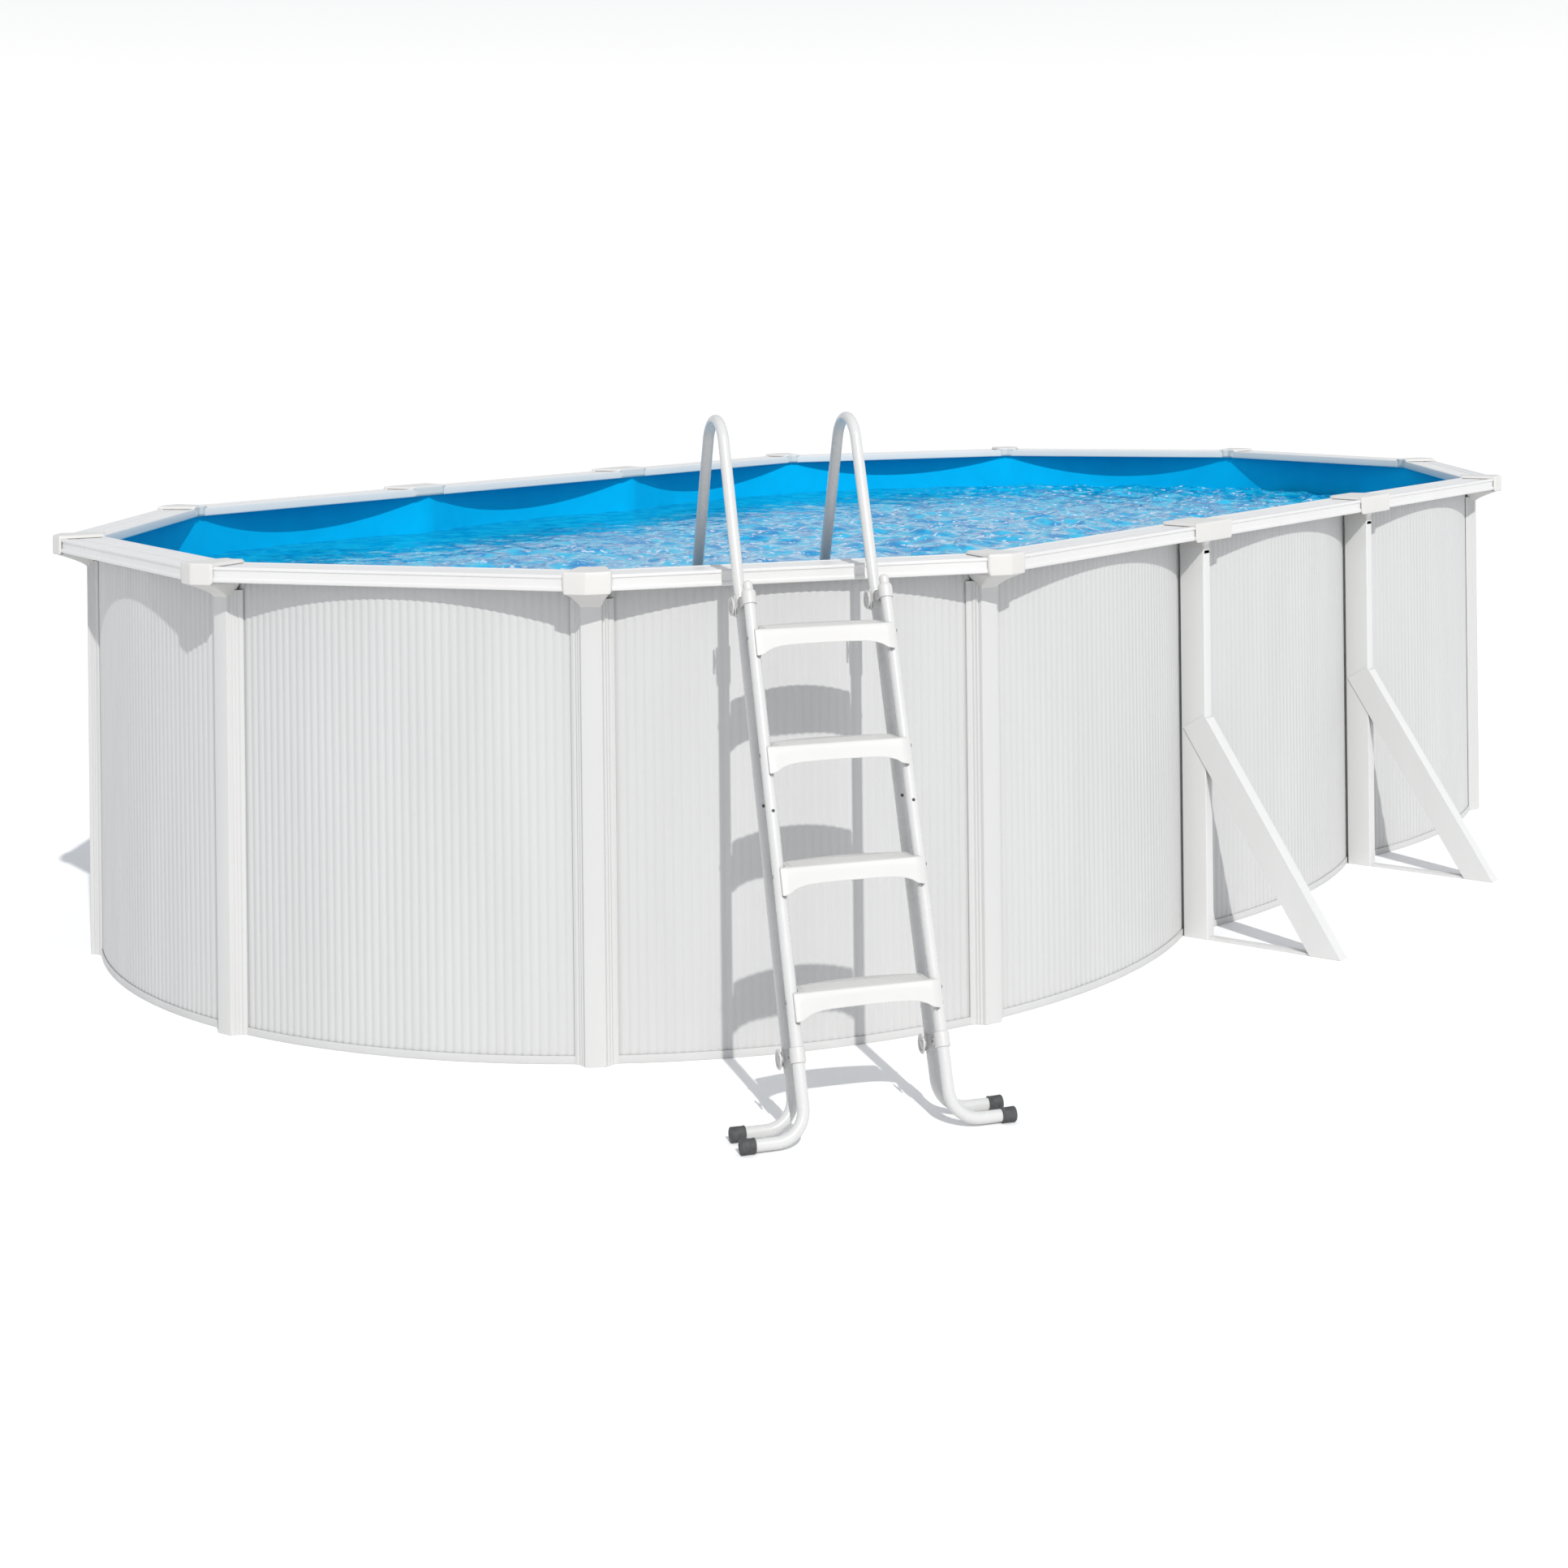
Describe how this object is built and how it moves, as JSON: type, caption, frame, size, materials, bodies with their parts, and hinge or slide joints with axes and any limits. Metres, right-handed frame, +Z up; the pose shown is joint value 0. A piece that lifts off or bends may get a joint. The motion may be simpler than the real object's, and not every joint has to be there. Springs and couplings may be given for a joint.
{
  "type": "above-ground swimming pool",
  "caption": "Oval above-ground pool with a corrugated steel wall, capped top rails, braced straight sides, blue liner and an A-frame ladder whose outer steps swing away.",
  "frame": {"origin": "centre of the pool's underside, on the ground", "axes": "+X along the pool's long axis, +Y away from the side that the ladder stands at, +Z up"},
  "size_m": [6.3818, 4.6248, 1.7584],
  "materials": {
    "wall_paint": "satin",
    "post_paint": "satin",
    "rail_paint": "satin",
    "cap_plastic": "satin",
    "liner_vinyl": "satin",
    "water": "gloss",
    "tube_paint": "gloss",
    "ladder_plastic": "satin",
    "foot_rubber": "matte",
    "screw_steel": "satin"
  },
  "bodies": {
    "pool_and_frame": {"wall": "wall_paint", "bottom_track": "post_paint", "liner": "liner_vinyl", "post_01": "post_paint", "post_02": "post_paint", "post_03": "post_paint", "post_06": "post_paint", "post_07": "post_paint", "post_08": "post_paint", "post_09": "post_paint", "post_10": "post_paint", "post_13": "post_paint", "post_14": "post_paint", "side_post_04": "post_paint", "side_post_05": "post_paint", "side_post_11": "post_paint", "side_post_12": "post_paint", "buttress_01": "post_paint", "buttress_02": "post_paint", "buttress_03": "post_paint", "buttress_04": "post_paint", "top_rail_01": "rail_paint", "top_rail_02": "rail_paint", "top_rail_03": "rail_paint", "top_rail_04": "rail_paint", "top_rail_05": "rail_paint", "top_rail_06": "rail_paint", "top_rail_07": "rail_paint", "top_rail_08": "rail_paint", "top_rail_09": "rail_paint", "top_rail_10": "rail_paint", "top_rail_11": "rail_paint", "top_rail_12": "rail_paint", "top_rail_13": "rail_paint", "top_rail_14": "rail_paint", "ladder_frame_left": "tube_paint", "ladder_frame_right": "tube_paint", "frame_foot_left": "foot_rubber", "frame_foot_right": "foot_rubber", "inner_step_1": "ladder_plastic", "inner_step_2": "ladder_plastic", "inner_step_3": "ladder_plastic", "coupling_clamp_left": "ladder_plastic", "coupling_clamp_right": "ladder_plastic"},
    "step_section": {"step_tube_left": "tube_paint", "step_tube_right": "tube_paint", "step_1": "ladder_plastic", "step_2": "ladder_plastic", "step_3": "ladder_plastic", "step_4": "ladder_plastic", "step_foot_left": "foot_rubber", "step_foot_right": "foot_rubber", "coupling_sleeve_left": "ladder_plastic", "coupling_sleeve_right": "ladder_plastic", "latch_left": "ladder_plastic", "latch_right": "ladder_plastic"},
    "coupling_knob_left": {"coupling_knob_left": "ladder_plastic"},
    "coupling_knob_right": {"coupling_knob_right": "ladder_plastic"},
    "latch_knob_left": {"latch_knob_left": "ladder_plastic"},
    "latch_knob_right": {"latch_knob_right": "ladder_plastic"}
  },
  "joints": [
    {"name": "step_section_swing", "type": "hinge", "parent": "pool_and_frame", "child": "step_section", "pos_m": [-2.45057, -1.64265, 1.2741], "axis": [-0.809, 0.5878, 0], "range_deg": [0, 38]},
    {"name": "coupling_knob_left_turn", "type": "hinge", "parent": "pool_and_frame", "child": "coupling_knob_left", "pos_m": [-2.60826, -1.47689, 1.25824], "axis": [0.809, -0.5878, 0], "range_deg": [0, 540]},
    {"name": "coupling_knob_right_turn", "type": "hinge", "parent": "pool_and_frame", "child": "coupling_knob_right", "pos_m": [-2.30245, -1.69907, 1.25824], "axis": [0.809, -0.5878, 0], "range_deg": [0, 540]},
    {"name": "latch_knob_left_turn", "type": "hinge", "parent": "pool_and_frame", "child": "latch_knob_left", "pos_m": [-2.85274, -1.81339, 0.17216], "axis": [0.809, -0.5878, 0], "range_deg": [0, 540]},
    {"name": "latch_knob_right_turn", "type": "hinge", "parent": "pool_and_frame", "child": "latch_knob_right", "pos_m": [-2.54694, -2.03557, 0.17216], "axis": [0.809, -0.5878, 0], "range_deg": [0, 540]}
  ]
}
